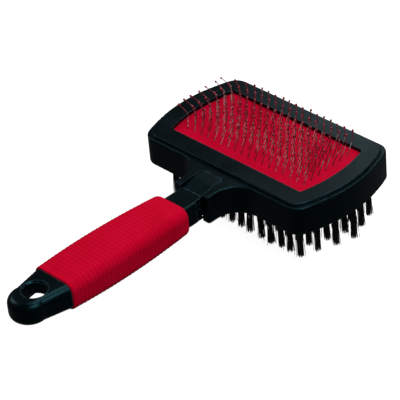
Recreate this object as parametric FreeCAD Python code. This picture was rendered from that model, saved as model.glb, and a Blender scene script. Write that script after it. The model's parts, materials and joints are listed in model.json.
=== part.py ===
import FreeCAD, Part
import math
import os

# Two-sided grooming brush, in millimetres.
#
# The pieces are drawn in the head's own frame: X across the brush, Y from the handle towards the head,
# Z up on the pin side, with the origin at the head's centre and z = 0 at the top of the bezel.
# At the end every piece is turned and lifted into the resting pose: bristle tips and grip on a flat
# surface, origin below the middle of the bounding box.

# ---- driving dimensions: head ----
HEAD_HALF_LENGTH = 53.9        # to the sharp corner
HEAD_HALF_DEPTH = 35.8
HEAD_CENTRE_Y = -0.9           # the shell sits this far back from the pad window
HEAD_BOW = 8.0                 # how far each short end bulges
HEAD_CORNER = 8.5
HEAD_EDGE = 0.8
CORNER_SHRINK = 0.8            # loss of corner radius per millimetre of inset
RIM_Z = -1.4
HEAD_BOTTOM_Z = -17.9
RIM_WALL = 3.8
SKIRT_WALL = 2.2

BEZEL_INSET = 2.0
BEZEL_EDGE = 0.6
WINDOW_HALF_LENGTH = 46.2
WINDOW_HALF_DEPTH = 23.6
WINDOW_CENTRE_Y = -0.5
WINDOW_BOW = 3.5
WINDOW_CORNER = 1.2
PEG_R = 0.7
PEG_LENGTH = 3.5
PEG_X = 30.0
PEG_Y = 33.0                   # from the shell's centre line

PAD_TOP_Z = -2.2
PAD_THICK = 2.0
CLOTH_THICK = 0.8
STACK_GAP = 0.3                # clearance between the pad stack and the cavity wall
FOAM_BOTTOM_Z = -9.0
WEB_THICK = 2.0
BOSS_WALL = 1.0

# ---- driving dimensions: wire pins ----
PIN_COLUMNS = 18
PIN_PITCH_X = 4.9
PIN_ROWS = 7
PIN_PITCH_Y = 5.5
WIRE_R = 0.225
WIRE_HOLE_R = 0.28
WIRE_BEND_R = 0.6
PIN_LEAN = 3.6                 # sideways reach of the lower leg, towards +Y
KNEE_HEIGHT = 6.9              # above the pad
PIN_HEIGHT = 13.4
PIN_RETURN = 0.4               # how far the tip comes back from the knee
BALL_R = 0.65

# ---- driving dimensions: bristle side ----
TUFT_ROWS = 6
TUFT_PITCH_X = 6.93
TUFT_PITCH_Y = 9.76
TUFT_R = 1.45
TUFT_TIP_R = 1.75
TUFT_TIP_Z = -41.0
TUFT_MARGIN = 3.9              # hole centre to the block's edge, at least
BLOCK_THICK = 4.5
BLOCK_GAP = 0.1
HOLE_R = 1.5
HOLE_DEPTH = 3.5
ANCHOR = (2.9, 0.4, 1.6)
SCREW_X = 37.95
SCREW_Y = 18.28
SCREW_R = 1.1
SCREW_HEAD_R = 2.2
SCREW_HEAD = 1.4
SCREW_LENGTH = 7.0
DRIVE_HALF = 1.6               # cross recess in the screw head
DRIVE_SLOT = 0.25
DRIVE_DEPTH = 0.7

# ---- driving dimensions: hinge and release button ----
PIVOT_Y = -49.5
PIVOT_Z = -9.7
EAR_OUT = 12.0
EAR_IN = 7.5
EAR_END_Y = -56.3
EAR_CORNER = 1.5
FLARE_R = 13.5
SLOT_FAR_Y = -39.4
BARREL_R = 4.7
BARREL_HALF = 7.0
BUSH_R = 2.9
PIN_R = 2.0
PIN_RUNNING_GAP = 0.05
PIN_LEFT = 11.5                # the bore is open at the left ear and blind at the right one
PIN_RIGHT = 10.8
BORE_END_GAP = 0.2
WASHER_R = 4.4
WASHER_THICK = 0.4

CAP_HALF = 6.7
CAP_FAR_Y = -39.8
CAP_FOLD_Y = -46.5
CAP_NEAR_R = 8.1               # the cap's near edge is concentric with the pivot
CAP_DROP = 2.2                 # how far the sloping part falls
CAP_THICK = 1.0
CAP_EDGE = 0.35
NECK_CLEAR_R = 8.4
LEG_HALF = 4.5
LEG_PLAY = 0.3                 # between the leg and its pocket, and the flange and its wall
LEG_THICK = 2.5
ARM_THICK = 1.6
ARM_GAP = 0.5                  # from the barrel to the arm below it
SHOE_NEAR = 2.5                # brake shoe under the barrel's far side, from the pivot's centre line
SHOE_FAR = 4.6
SHOE_TOP = 2.9                 # below the pivot
SHOE_GAP = 0.05
FLANGE_THICK = 1.4
POCKET_ROOF_Z = -3.4
POCKET_FLOOR_Z = -12.4
POCKET_FAR_Y = -34.4
SPRING_Y = -36.9
SPRING_R = 1.8
SPRING_WIRE_R = 0.25
SPRING_TURNS = 5

# ---- driving dimensions: handle ----
NECK_HALF = 8.2
NECK_END_Y = -60.6             # the wide part stops short of the ears' swing
NECK_TOP_Z = -3.5
NECK_BOTTOM_Z = -16.5
NECK_EDGE = 1.6
NECK_ROOT = 6.0                # length of neck inside the grip
WEB_LENGTH = 10.0              # from the pivot back towards the grip
GRIP_FRONT_Y = -68.9
GRIP_REAR_Y = -150.8
GRIP_SECTIONS = (              # share of the length from the rear, width, height, corner radius
    (0.0, 28.0, 16.5, 5.5),
    (0.5, 29.0, 18.5, 5.7),
    (1.0, 24.7, 16.8, 5.8),
)
GRIP_REAR_Z = -7.75
GRIP_FRONT_Z = -9.1
GRIP_WALL = 3.5
GRIP_FRONT_EDGE = 3.0
GRIP_REAR_EDGE = 0.8
GRIP_STEP = 1.0                # how far the grip stands proud of the tail
TAIL_TIP_Y = -178.0
TAIL_TIP_R = 10.3
TAIL_TIP_HEIGHT = 12.6
TAIL_EDGE = 4.2
TAIL_WALL = 1.5                # side wall round the cored-out underside
HOLE_CENTRE_Y = -163.0
HANG_HOLE_R = 6.2
HANG_ROOF = 7.3                # thickness left at the hanging hole
HANG_CHAMFER = 0.8

BEYOND = 5.0                   # how far a cutter runs past the face that it opens

# ---- derived sizes ----
HEAD_FAR_Y = HEAD_CENTRE_Y + HEAD_HALF_DEPTH
HEAD_NEAR_Y = HEAD_CENTRE_Y - HEAD_HALF_DEPTH
PAD_BOTTOM_Z = PAD_TOP_Z - PAD_THICK
CLOTH_BOTTOM_Z = PAD_BOTTOM_Z - CLOTH_THICK
CROWN_Z = CLOTH_BOTTOM_Z - WIRE_R
FOAM_TOP_Z = CLOTH_BOTTOM_Z - 2 * WIRE_R
WEB_BOTTOM_Z = FOAM_BOTTOM_Z - WEB_THICK
BLOCK_TOP_Z = HEAD_BOTTOM_Z + BLOCK_THICK
ARM_TOP_Z = PIVOT_Z - BARREL_R - ARM_GAP
X_AXIS = FreeCAD.Vector(1, 0, 0)
Y_AXIS = FreeCAD.Vector(0, 1, 0)
Z_AXIS = FreeCAD.Vector(0, 0, 1)
PIVOT = FreeCAD.Vector(0, PIVOT_Y, PIVOT_Z)


def vec(x, y, z):
    return FreeCAD.Vector(x, y, z)


def line(a, b):
    return Part.LineSegment(a, b).toShape()


def arc(a, middle, b):
    return Part.Arc(a, middle, b).toShape()


def box(x, y, z):
    """A box between pairs of coordinates."""
    return Part.makeBox(x[1] - x[0], y[1] - y[0], z[1] - z[0], vec(x[0], y[0], z[0]))


def rod(radius, start, length, axis=Z_AXIS):
    return Part.makeCylinder(radius, length, start, axis)


def moved(shape, x, y, z):
    copy = shape.copy()
    copy.translate(vec(x, y, z))
    return copy


def edges_on_plane(shape, axis, value):
    """The edges that lie wholly in the plane where the x, y or z coordinate has this value."""
    low, high = {"x": ("XMin", "XMax"), "y": ("YMin", "YMax"), "z": ("ZMin", "ZMax")}[axis]
    near = 1e-3
    found = []
    for edge in shape.Edges:
        bounds = edge.BoundBox
        if abs(getattr(bounds, low) - value) < near and abs(getattr(bounds, high) - value) < near:
            found.append(edge)
    return found


def upright_edges(shape, x, y):
    """The two vertical edges at (+-x, y)."""
    near = 1e-3
    found = []
    for edge in shape.Edges:
        bounds = edge.BoundBox
        straight_up = bounds.XLength < near and bounds.YLength < near
        if straight_up and abs(abs(bounds.XMin) - x) < near and abs(bounds.YMin - y) < near:
            found.append(edge)
    return found


def bowed_prism(half_length, half_depth, bow, corner, z_low, z_high):
    """A rectangle with bulging short ends and rounded corners, from z_low to z_high."""
    far_right = vec(half_length, half_depth, z_low)
    near_right = vec(half_length, -half_depth, z_low)
    near_left = vec(-half_length, -half_depth, z_low)
    far_left = vec(-half_length, half_depth, z_low)
    outline = Part.Wire([
        line(far_left, far_right),
        arc(far_right, vec(half_length + bow, 0, z_low), near_right),
        line(near_right, near_left),
        arc(near_left, vec(-half_length - bow, 0, z_low), far_left),
    ])
    prism = Part.Face(outline).extrude(vec(0, 0, z_high - z_low))
    corners = upright_edges(prism, half_length, half_depth) + upright_edges(prism, half_length, -half_depth)
    return prism.makeFillet(corner, corners)


def inset_prism(inset, z_low, z_high):
    """The head's outline, drawn in by inset."""
    prism = bowed_prism(
        HEAD_HALF_LENGTH - inset,
        HEAD_HALF_DEPTH - inset,
        HEAD_BOW,
        HEAD_CORNER - CORNER_SHRINK * inset,
        z_low,
        z_high,
    )
    return moved(prism, 0, HEAD_CENTRE_Y, 0)


def rounded_rectangle(width, height, corner, y, z):
    """A closed wire across the handle at y, centred at height z."""
    half_w = width / 2
    half_h = height / 2
    flat_w = half_w - corner
    flat_h = half_h - corner
    bulge = corner * math.sqrt(0.5)
    pieces = []
    for side_x, side_z in ((1, 1), (-1, 1), (-1, -1), (1, -1)):
        centre = vec(side_x * flat_w, y, z + side_z * flat_h)
        on_side = centre + vec(side_x * corner, 0, 0)
        on_cap = centre + vec(0, 0, side_z * corner)
        corner_middle = centre + vec(side_x * bulge, 0, side_z * bulge)
        first, last = (on_side, on_cap) if side_x * side_z > 0 else (on_cap, on_side)
        pieces.append(arc(first, corner_middle, last))
    edges = []
    for index, piece in enumerate(pieces):
        following = pieces[(index + 1) % len(pieces)]
        edges.append(piece)
        edges.append(line(piece.lastVertex().Point, following.firstVertex().Point))
    return Part.Wire(Part.__sortEdges__(edges))


def rounded_path(points, radius):
    """Straight runs through the points, joined by tangent arcs."""
    edges = []
    start = points[0]
    for previous, corner, following in zip(points, points[1:], points[2:]):
        back = (previous - corner).normalize()
        ahead = (following - corner).normalize()
        half_turn = (math.pi - back.getAngle(ahead)) / 2
        reach = radius * math.tan(half_turn)
        begin = corner + back * reach
        end = corner + ahead * reach
        bisector = (back + ahead).normalize()
        middle = corner + bisector * (radius / math.cos(half_turn) - radius)
        edges.append(line(start, begin))
        edges.append(arc(begin, middle, end))
        start = end
    edges.append(line(start, points[-1]))
    return Part.Wire(edges)


def swept_wire(points, wire_radius, bend_radius):
    path = rounded_path(points, bend_radius)
    direction = (points[1] - points[0]).normalize()
    section = Part.Wire(Part.makeCircle(wire_radius, points[0], direction))
    return path.makePipeShell([section], True, False)


def side_prism(points, half_width):
    """A polygon of (y, z) points, extruded across the brush."""
    corners = [vec(-half_width, y, z) for y, z in points]
    return Part.Face(Part.makePolygon(corners + corners[:1])).extrude(vec(2 * half_width, 0, 0))


def cross_rod(radius, half_width):
    """A cylinder along X about the pivot axis."""
    return rod(radius, PIVOT - X_AXIS * half_width, 2 * half_width, X_AXIS)


# ---- head ----

def head_blank():
    """The head's outer form: bowed rectangle, two flares and the block that the ears are cut from."""
    flare_x = EAR_OUT + FLARE_R
    flare_y = HEAD_NEAR_Y - FLARE_R
    slant = FLARE_R * math.sqrt(0.5)
    edges = []
    for side in (1, -1):
        far = vec(side * HEAD_HALF_LENGTH, HEAD_FAR_Y, HEAD_BOTTOM_Z)
        near = vec(side * HEAD_HALF_LENGTH, HEAD_NEAR_Y, HEAD_BOTTOM_Z)
        bow_middle = vec(side * (HEAD_HALF_LENGTH + HEAD_BOW), HEAD_CENTRE_Y, HEAD_BOTTOM_Z)
        flare_start = vec(side * flare_x, HEAD_NEAR_Y, HEAD_BOTTOM_Z)
        flare_middle = vec(side * (flare_x - slant), flare_y + slant, HEAD_BOTTOM_Z)
        flare_end = vec(side * EAR_OUT, flare_y, HEAD_BOTTOM_Z)
        ear_corner = vec(side * EAR_OUT, EAR_END_Y, HEAD_BOTTOM_Z)
        edges.append(line(vec(0, HEAD_FAR_Y, HEAD_BOTTOM_Z), far))
        edges.append(arc(far, bow_middle, near))
        edges.append(line(near, flare_start))
        edges.append(arc(flare_start, flare_middle, flare_end))
        edges.append(line(flare_end, ear_corner))
        edges.append(line(ear_corner, vec(0, EAR_END_Y, HEAD_BOTTOM_Z)))
    outline = Part.Wire(Part.__sortEdges__(edges))
    blank = Part.Face(outline).extrude(vec(0, 0, RIM_Z - HEAD_BOTTOM_Z)).removeSplitter()
    corners = upright_edges(blank, HEAD_HALF_LENGTH, HEAD_FAR_Y)
    corners += upright_edges(blank, HEAD_HALF_LENGTH, HEAD_NEAR_Y)
    blank = blank.makeFillet(HEAD_CORNER, corners)
    blank = blank.makeFillet(EAR_CORNER, upright_edges(blank, EAR_OUT, EAR_END_Y))
    rims = edges_on_plane(blank, "z", RIM_Z) + edges_on_plane(blank, "z", HEAD_BOTTOM_Z)
    return blank.makeFillet(HEAD_EDGE, rims)


def four_places(x, y):
    """Points at (+-x, +-y) about the middle of the shell."""
    return [(sx * x, HEAD_CENTRE_Y + sy * y) for sx in (1, -1) for sy in (1, -1)]


def screw_places():
    return four_places(SCREW_X, SCREW_Y)


def peg_places():
    return four_places(PEG_X, PEG_Y)


def head_housing():
    shell = head_blank()
    shell = shell.cut(inset_prism(RIM_WALL, FOAM_BOTTOM_Z, 1.0))
    shell = shell.cut(inset_prism(SKIRT_WALL, HEAD_BOTTOM_Z - 1.0, BLOCK_TOP_Z))
    hollow = inset_prism(RIM_WALL + SKIRT_WALL, BLOCK_TOP_Z - 0.5, WEB_BOTTOM_Z)
    bosses = [
        rod(SCREW_HEAD_R + BOSS_WALL, vec(x, y, BLOCK_TOP_Z), WEB_BOTTOM_Z - BLOCK_TOP_Z)
        for x, y in screw_places()
    ]
    shell = shell.cut(hollow.cut(Part.makeCompound(bosses)))
    bore_end = PIN_RIGHT + BORE_END_GAP
    cutters = [
        box((-EAR_IN, EAR_IN), (EAR_END_Y - BEYOND, SLOT_FAR_Y), (HEAD_BOTTOM_Z - BEYOND, BEYOND)),
        box(
            (-LEG_HALF - LEG_PLAY, LEG_HALF + LEG_PLAY),
            (SLOT_FAR_Y - 1, POCKET_FAR_Y),
            (POCKET_FLOOR_Z, POCKET_ROOF_Z),
        ),
        rod(PIN_R, PIVOT - X_AXIS * (EAR_OUT + BEYOND), EAR_OUT + BEYOND + bore_end, X_AXIS),
    ]
    for x, y in screw_places():
        cutters.append(rod(SCREW_R + 0.2, vec(x, y, BLOCK_TOP_Z - 1), WEB_THICK + 5))
        cutters.append(rod(SCREW_HEAD_R + 0.2, vec(x, y, FOAM_BOTTOM_Z - SCREW_HEAD - 0.1), 3))
    for x, y in peg_places():
        cutters.append(rod(PEG_R + 0.05, vec(x, y, RIM_Z - PEG_LENGTH - 0.2), PEG_LENGTH + 1))
    return shell.cut(cutters)


def bezel_frame():
    """The frame that holds the pad down: a raised band with a plug that enters the housing."""
    band = inset_prism(BEZEL_INSET, RIM_Z, 0.0)
    band = band.makeFillet(BEZEL_EDGE, edges_on_plane(band, "z", 0.0))
    plug = inset_prism(RIM_WALL + STACK_GAP / 2, PAD_TOP_Z, RIM_Z)
    window = bowed_prism(
        WINDOW_HALF_LENGTH, WINDOW_HALF_DEPTH, WINDOW_BOW, WINDOW_CORNER, PAD_TOP_Z - 1, 1.0
    )
    window = moved(window, 0, WINDOW_CENTRE_Y, 0)
    frame = band.fuse(plug).cut(window)
    pegs = [rod(PEG_R, vec(x, y, RIM_Z - PEG_LENGTH), PEG_LENGTH + 0.5) for x, y in peg_places()]
    return frame.fuse(pegs).removeSplitter()


def pin_x(column):
    return (column - (PIN_COLUMNS - 1) / 2) * PIN_PITCH_X


def pin_y(row):
    return (row - (PIN_ROWS - 1) / 2) * PIN_PITCH_Y


def wire_holes():
    """Through holes for every pin leg, as one compound."""
    holes = []
    for column in range(PIN_COLUMNS):
        for row in range(PIN_ROWS):
            holes.append(rod(WIRE_HOLE_R, vec(pin_x(column), pin_y(row), CROWN_Z), PAD_TOP_Z - CROWN_Z + 1))
    return Part.makeCompound(holes)


def pad_layer(z_low, z_high):
    return inset_prism(RIM_WALL + STACK_GAP, z_low, z_high)


def leg_points(x, y):
    """The bends of one pin, from the crown behind the cloth to the tip."""
    return [
        vec(x, y, CROWN_Z),
        vec(x, y, PAD_TOP_Z + 0.3),
        vec(x, y + PIN_LEAN, PAD_TOP_Z + KNEE_HEIGHT),
        vec(x, y + PIN_LEAN - PIN_RETURN, PAD_TOP_Z + PIN_HEIGHT),
    ]


def staple():
    """One length of wire that makes two neighbouring pins, centred on x = 0 and y = 0."""
    left = leg_points(-PIN_PITCH_X / 2, 0.0)
    right = leg_points(PIN_PITCH_X / 2, 0.0)
    return swept_wire(left[::-1] + right, WIRE_R, WIRE_BEND_R)


def staple_row(row):
    one = staple()
    places = [pin_x(column) + PIN_PITCH_X / 2 for column in range(0, PIN_COLUMNS, 2)]
    return Part.makeCompound([moved(one, x, pin_y(row), 0) for x in places])


def tip_row(row):
    """Moulded balls, each with a socket that the wire's end fills."""
    knee, tip = leg_points(0.0, 0.0)[-2:]
    socket_axis = (tip - knee).normalize()
    ball = Part.makeSphere(BALL_R, tip).cut(rod(WIRE_R, tip - socket_axis * 2, 2, socket_axis))
    return Part.makeCompound([moved(ball, pin_x(column), pin_y(row), 0) for column in range(PIN_COLUMNS)])


# ---- bristle side ----

def block_reach(offset):
    """Half the bristle block's length, less the margin that a hole needs, at this offset from its centre line."""
    inset = SKIRT_WALL + BLOCK_GAP
    corner = HEAD_CORNER - CORNER_SHRINK * inset
    half_depth = HEAD_HALF_DEPTH - inset
    bowed = HEAD_HALF_LENGTH - inset + HEAD_BOW * (1 - (offset / half_depth) ** 2)
    into_corner = max(0.0, abs(offset) - (half_depth - corner))
    rounding = corner - math.sqrt(corner**2 - into_corner**2)
    return bowed - rounding - TUFT_MARGIN


def tuft_places(row):
    """Hole centres along one row; the first, third and fifth are shifted by half a pitch."""
    offset = (row - (TUFT_ROWS - 1) / 2) * TUFT_PITCH_Y
    shifted = (row + 1) % 2
    count = int(block_reach(offset) / TUFT_PITCH_X - shifted / 2)
    first = -count - shifted / 2
    steps = 2 * count + shifted + 1
    return [((first + step) * TUFT_PITCH_X, HEAD_CENTRE_Y + offset) for step in range(steps)]


def every_tuft():
    return [place for row in range(TUFT_ROWS) for place in tuft_places(row)]


def bristle_block():
    inset = SKIRT_WALL + BLOCK_GAP
    block = inset_prism(inset, HEAD_BOTTOM_Z, BLOCK_TOP_Z)
    holes = [rod(HOLE_R, vec(x, y, HEAD_BOTTOM_Z - 1), HOLE_DEPTH + 1) for x, y in every_tuft()]
    bottom = FOAM_BOTTOM_Z - SCREW_LENGTH
    holes += [rod(SCREW_R, vec(x, y, bottom), BLOCK_TOP_Z - bottom + 1) for x, y in screw_places()]
    return block.cut(Part.makeCompound(holes))


def anchor_blade():
    width, thick, height = ANCHOR
    low = HEAD_BOTTOM_Z + HOLE_DEPTH - height
    return box((-width / 2, width / 2), (-thick / 2, thick / 2), (low, low + height))


def tuft():
    """One bundle of filaments as a closed form: straight in its hole, then opening slightly."""
    root_top = HEAD_BOTTOM_Z + HOLE_DEPTH - 0.05
    root = rod(TUFT_R, vec(0, 0, HEAD_BOTTOM_Z), root_top - HEAD_BOTTOM_Z)
    length = HEAD_BOTTOM_Z - TUFT_TIP_Z
    brush = Part.makeCone(TUFT_TIP_R, TUFT_R, length, vec(0, 0, TUFT_TIP_Z))
    return root.fuse(brush).removeSplitter().cut(anchor_blade())


def bristle_row(row):
    one = tuft()
    return Part.makeCompound([moved(one, x, y, 0) for x, y in tuft_places(row)])


def tuft_anchors():
    blade = anchor_blade()
    return Part.makeCompound([moved(blade, x, y, 0) for x, y in every_tuft()])


def block_screws():
    head = rod(SCREW_HEAD_R, vec(0, 0, FOAM_BOTTOM_Z - SCREW_HEAD), SCREW_HEAD)
    shank = rod(SCREW_R, vec(0, 0, FOAM_BOTTOM_Z - SCREW_LENGTH), SCREW_LENGTH - SCREW_HEAD / 2)
    recess = (FOAM_BOTTOM_Z - DRIVE_DEPTH, FOAM_BOTTOM_Z + BEYOND)
    drive = box((-DRIVE_HALF, DRIVE_HALF), (-DRIVE_SLOT, DRIVE_SLOT), recess)
    cross = box((-DRIVE_SLOT, DRIVE_SLOT), (-DRIVE_HALF, DRIVE_HALF), recess)
    screw = head.fuse(shank).removeSplitter().cut([drive, cross])
    return Part.makeCompound([moved(screw, x, y, 0) for x, y in screw_places()])


# ---- hinge ----

def pivot_pin():
    pin = rod(PIN_R, PIVOT - X_AXIS * PIN_LEFT, PIN_LEFT + PIN_RIGHT, X_AXIS)
    ends = edges_on_plane(pin, "x", PIN_RIGHT) + edges_on_plane(pin, "x", -PIN_LEFT)
    return pin.makeChamfer(0.3, ends)


def pivot_bush():
    return cross_rod(BUSH_R, BARREL_HALF).cut(cross_rod(PIN_R + PIN_RUNNING_GAP, BARREL_HALF + 1))


def friction_washers():
    ring = cross_rod(WASHER_R, WASHER_THICK / 2).cut(cross_rod(PIN_R + PIN_RUNNING_GAP, 1))
    offset = BARREL_HALF + (EAR_IN - BARREL_HALF) / 2
    return Part.makeCompound([moved(ring, side * offset, 0, 0) for side in (1, -1)])


def release_button():
    """A cap over the hinge barrel, with a leg whose brake shoe bears on the barrel from below."""
    near_z = RIM_Z - CAP_DROP
    near_y = PIVOT_Y - math.sqrt(CAP_NEAR_R**2 - (near_z - PIVOT_Z) ** 2)
    far_part = side_prism(
        [
            (CAP_FAR_Y, RIM_Z),
            (CAP_FOLD_Y, RIM_Z),
            (near_y, near_z),
            (near_y, near_z - CAP_THICK),
            (CAP_FOLD_Y, RIM_Z - CAP_THICK),
            (CAP_FAR_Y, RIM_Z - CAP_THICK),
        ],
        CAP_HALF,
    )
    top_edges = edges_on_plane(far_part, "x", CAP_HALF) + edges_on_plane(far_part, "x", -CAP_HALF)
    cap = far_part.makeFillet(CAP_EDGE, [edge for edge in top_edges if edge.BoundBox.ZMax > near_z - 0.1])
    leg_far = CAP_FAR_Y + 0.1
    leg_near = leg_far - LEG_THICK
    arm_bottom = ARM_TOP_Z - ARM_THICK
    leg = box((-LEG_HALF, LEG_HALF), (leg_near, leg_far), (arm_bottom, RIM_Z - CAP_THICK + 0.2))
    arm = box((-LEG_HALF, LEG_HALF), (PIVOT_Y + SHOE_NEAR, leg_far), (arm_bottom, ARM_TOP_Z))
    shoe = box(
        (-LEG_HALF, LEG_HALF),
        (PIVOT_Y + SHOE_NEAR, PIVOT_Y + SHOE_FAR),
        (ARM_TOP_Z - 0.2, PIVOT_Z - SHOE_TOP),
    )
    shoe = shoe.cut(cross_rod(BARREL_R + SHOE_GAP, BARREL_HALF))
    flange_top = POCKET_ROOF_Z - 0.05
    flange = box(
        (-LEG_HALF, LEG_HALF),
        (leg_far - 1, POCKET_FAR_Y - LEG_PLAY),
        (flange_top - FLANGE_THICK, flange_top),
    )
    return cap.fuse([leg, arm, shoe, flange]).removeSplitter()


def button_spring():
    """A closed helix between the pocket's floor and the button's flange."""
    low = POCKET_FLOOR_Z + SPRING_WIRE_R
    high = POCKET_ROOF_Z - 0.05 - FLANGE_THICK - SPRING_WIRE_R
    helix = Part.makeHelix((high - low) / SPRING_TURNS, high - low, SPRING_R)
    helix.translate(vec(0, SPRING_Y, low))
    section = Part.Wire(Part.makeCircle(SPRING_WIRE_R, vec(SPRING_R, SPRING_Y, low), Y_AXIS))
    return Part.Wire(helix.Edges).makePipeShell([section], True, True)


# ---- handle ----

def grip_centre_z(y):
    """Height of the handle's centre line, which rises slightly towards the tail."""
    share = (y - GRIP_REAR_Y) / (GRIP_FRONT_Y - GRIP_REAR_Y)
    return GRIP_REAR_Z + share * (GRIP_FRONT_Z - GRIP_REAR_Z)


def grip_loft(inset):
    """The grip's form, drawn in by inset on every side."""
    wires = []
    for share, width, height, corner in GRIP_SECTIONS:
        y = GRIP_REAR_Y + share * (GRIP_FRONT_Y - GRIP_REAR_Y)
        wires.append(
            rounded_rectangle(
                width - 2 * inset, height - 2 * inset, corner - 0.7 * inset, y, grip_centre_z(y)
            )
        )
    return Part.makeLoft(wires, True, False)


def rubber_grip():
    """The sleeve moulded over the handle core."""
    sleeve = grip_loft(0.0)
    sleeve = sleeve.makeFillet(GRIP_FRONT_EDGE, edges_on_plane(sleeve, "y", GRIP_FRONT_Y))
    sleeve = sleeve.makeFillet(GRIP_REAR_EDGE, edges_on_plane(sleeve, "y", GRIP_REAR_Y))
    return sleeve.cut(handle_core())


def tail():
    """The handle's end: a tapering slab with a round tip, cored out below, with the hanging hole."""
    _, width, height, _ = GRIP_SECTIONS[0]
    half_width = width / 2 - GRIP_STEP
    half_height = height / 2 - GRIP_STEP
    tip_centre = TAIL_TIP_Y + TAIL_TIP_R
    reach = GRIP_REAR_Y - tip_centre
    span = math.hypot(reach, half_width)
    turn = math.acos(TAIL_TIP_R / span) - math.atan2(reach, half_width)
    touch_x = TAIL_TIP_R * math.cos(turn)
    touch_y = tip_centre + TAIL_TIP_R * math.sin(turn)
    bottom = 2 * HEAD_BOTTOM_Z
    overlap = 4.0              # length of the tail that is made inside the grip, then cut off
    slope_x = (half_width - touch_x) / (GRIP_REAR_Y - touch_y)
    start_x = half_width + overlap * slope_x
    start_y = GRIP_REAR_Y + overlap
    outline = Part.Wire([
        line(vec(start_x, start_y, bottom), vec(touch_x, touch_y, bottom)),
        arc(vec(touch_x, touch_y, bottom), vec(0, TAIL_TIP_Y, bottom), vec(-touch_x, touch_y, bottom)),
        line(vec(-touch_x, touch_y, bottom), vec(-start_x, start_y, bottom)),
        line(vec(-start_x, start_y, bottom), vec(start_x, start_y, bottom)),
    ])
    slab = Part.Face(outline).extrude(vec(0, 0, -2 * bottom))
    rear_z = grip_centre_z(GRIP_REAR_Y)
    tip_z = grip_centre_z(TAIL_TIP_Y)
    fall = (half_height - TAIL_TIP_HEIGHT / 2) / (GRIP_REAR_Y - TAIL_TIP_Y)
    start_half = half_height + overlap * fall
    end_half = TAIL_TIP_HEIGHT / 2 - BEYOND * fall
    profile = side_prism(
        [
            (start_y, rear_z + start_half),
            (TAIL_TIP_Y - BEYOND, tip_z + end_half),
            (TAIL_TIP_Y - BEYOND, tip_z - end_half),
            (start_y, rear_z - start_half),
        ],
        width,
    )
    body = slab.common(profile)
    soft_edges = []
    for edge in body.Edges:
        bounds = edge.BoundBox
        on_start = abs(bounds.YMin - start_y) < 0.01
        upright = bounds.ZLength > TAIL_TIP_HEIGHT / 2
        if not on_start and not upright:
            soft_edges.append(edge)
    body = body.makeFillet(TAIL_EDGE, soft_edges)
    body = body.cut(box((-width, width), (GRIP_REAR_Y, GRIP_REAR_Y + 2 * overlap), (bottom, -bottom)))
    roof_z = grip_centre_z(HOLE_CENTRE_Y) + half_height - fall * (GRIP_REAR_Y - HOLE_CENTRE_Y)
    pocket_z = roof_z - HANG_ROOF
    hole = rod(HANG_HOLE_R, vec(0, HOLE_CENTRE_Y, bottom), -2 * bottom)
    chamfer_foot = vec(0, HOLE_CENTRE_Y, roof_z - HANG_CHAMFER)
    chamfer = Part.makeCone(HANG_HOLE_R, HANG_HOLE_R + BEYOND, BEYOND, chamfer_foot)
    inner_x = touch_x - TAIL_WALL * math.cos(turn)
    inner_y = touch_y - TAIL_WALL * math.sin(turn)
    pocket_y = GRIP_REAR_Y - TAIL_WALL / 2
    pocket_x = inner_x + (pocket_y - inner_y) * slope_x
    pocket_outline = Part.Wire([
        line(vec(pocket_x, pocket_y, bottom), vec(inner_x, inner_y, bottom)),
        arc(
            vec(inner_x, inner_y, bottom),
            vec(0, TAIL_TIP_Y + TAIL_WALL, bottom),
            vec(-inner_x, inner_y, bottom),
        ),
        line(vec(-inner_x, inner_y, bottom), vec(-pocket_x, pocket_y, bottom)),
        line(vec(-pocket_x, pocket_y, bottom), vec(pocket_x, pocket_y, bottom)),
    ])
    pocket = Part.Face(pocket_outline).extrude(vec(0, 0, pocket_z - bottom))
    return body.cut([hole, chamfer, pocket])


def neck_and_knuckle():
    """The black neck in front of the grip, and the narrower web that carries the barrel."""
    neck = box(
        (-NECK_HALF, NECK_HALF),
        (GRIP_FRONT_Y - NECK_ROOT, NECK_END_Y),
        (NECK_BOTTOM_Z, NECK_TOP_Z),
    )
    neck = neck.makeFillet(NECK_EDGE, [edge for edge in neck.Edges if edge.BoundBox.YLength > NECK_ROOT])
    throat = box((-BARREL_HALF, BARREL_HALF), (NECK_END_Y - 1, PIVOT_Y), (NECK_BOTTOM_Z, NECK_TOP_Z))
    throat = throat.cut(cross_rod(NECK_CLEAR_R, BARREL_HALF + 5))
    web = box((-BARREL_HALF, BARREL_HALF), (PIVOT_Y - WEB_LENGTH, PIVOT_Y), (PIVOT_Z - BARREL_R, PIVOT_Z))
    knuckle = neck.fuse([throat, web, cross_rod(BARREL_R, BARREL_HALF)])
    return knuckle.cut(cross_rod(BUSH_R, BARREL_HALF + 5))


def handle_core():
    tang = grip_loft(GRIP_WALL)
    return tang.fuse([tail(), neck_and_knuckle()]).removeSplitter()


# ---- resting pose ----

def resting_tilt():
    """The turn about X, in radians, that sets the nearest bristle row and the grip's rear edge level."""
    tuft_y = HEAD_CENTRE_Y - (TUFT_ROWS - 1) / 2 * TUFT_PITCH_Y - TUFT_TIP_R
    grip_height = GRIP_SECTIONS[0][2]
    edge_y = GRIP_REAR_Y + GRIP_REAR_EDGE
    edge_z = GRIP_REAR_Z - grip_height / 2 + GRIP_REAR_EDGE
    along = tuft_y - edge_y
    up = edge_z - TUFT_TIP_Z
    return math.atan2(up, along) - math.asin(GRIP_REAR_EDGE / math.hypot(along, up))


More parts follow.
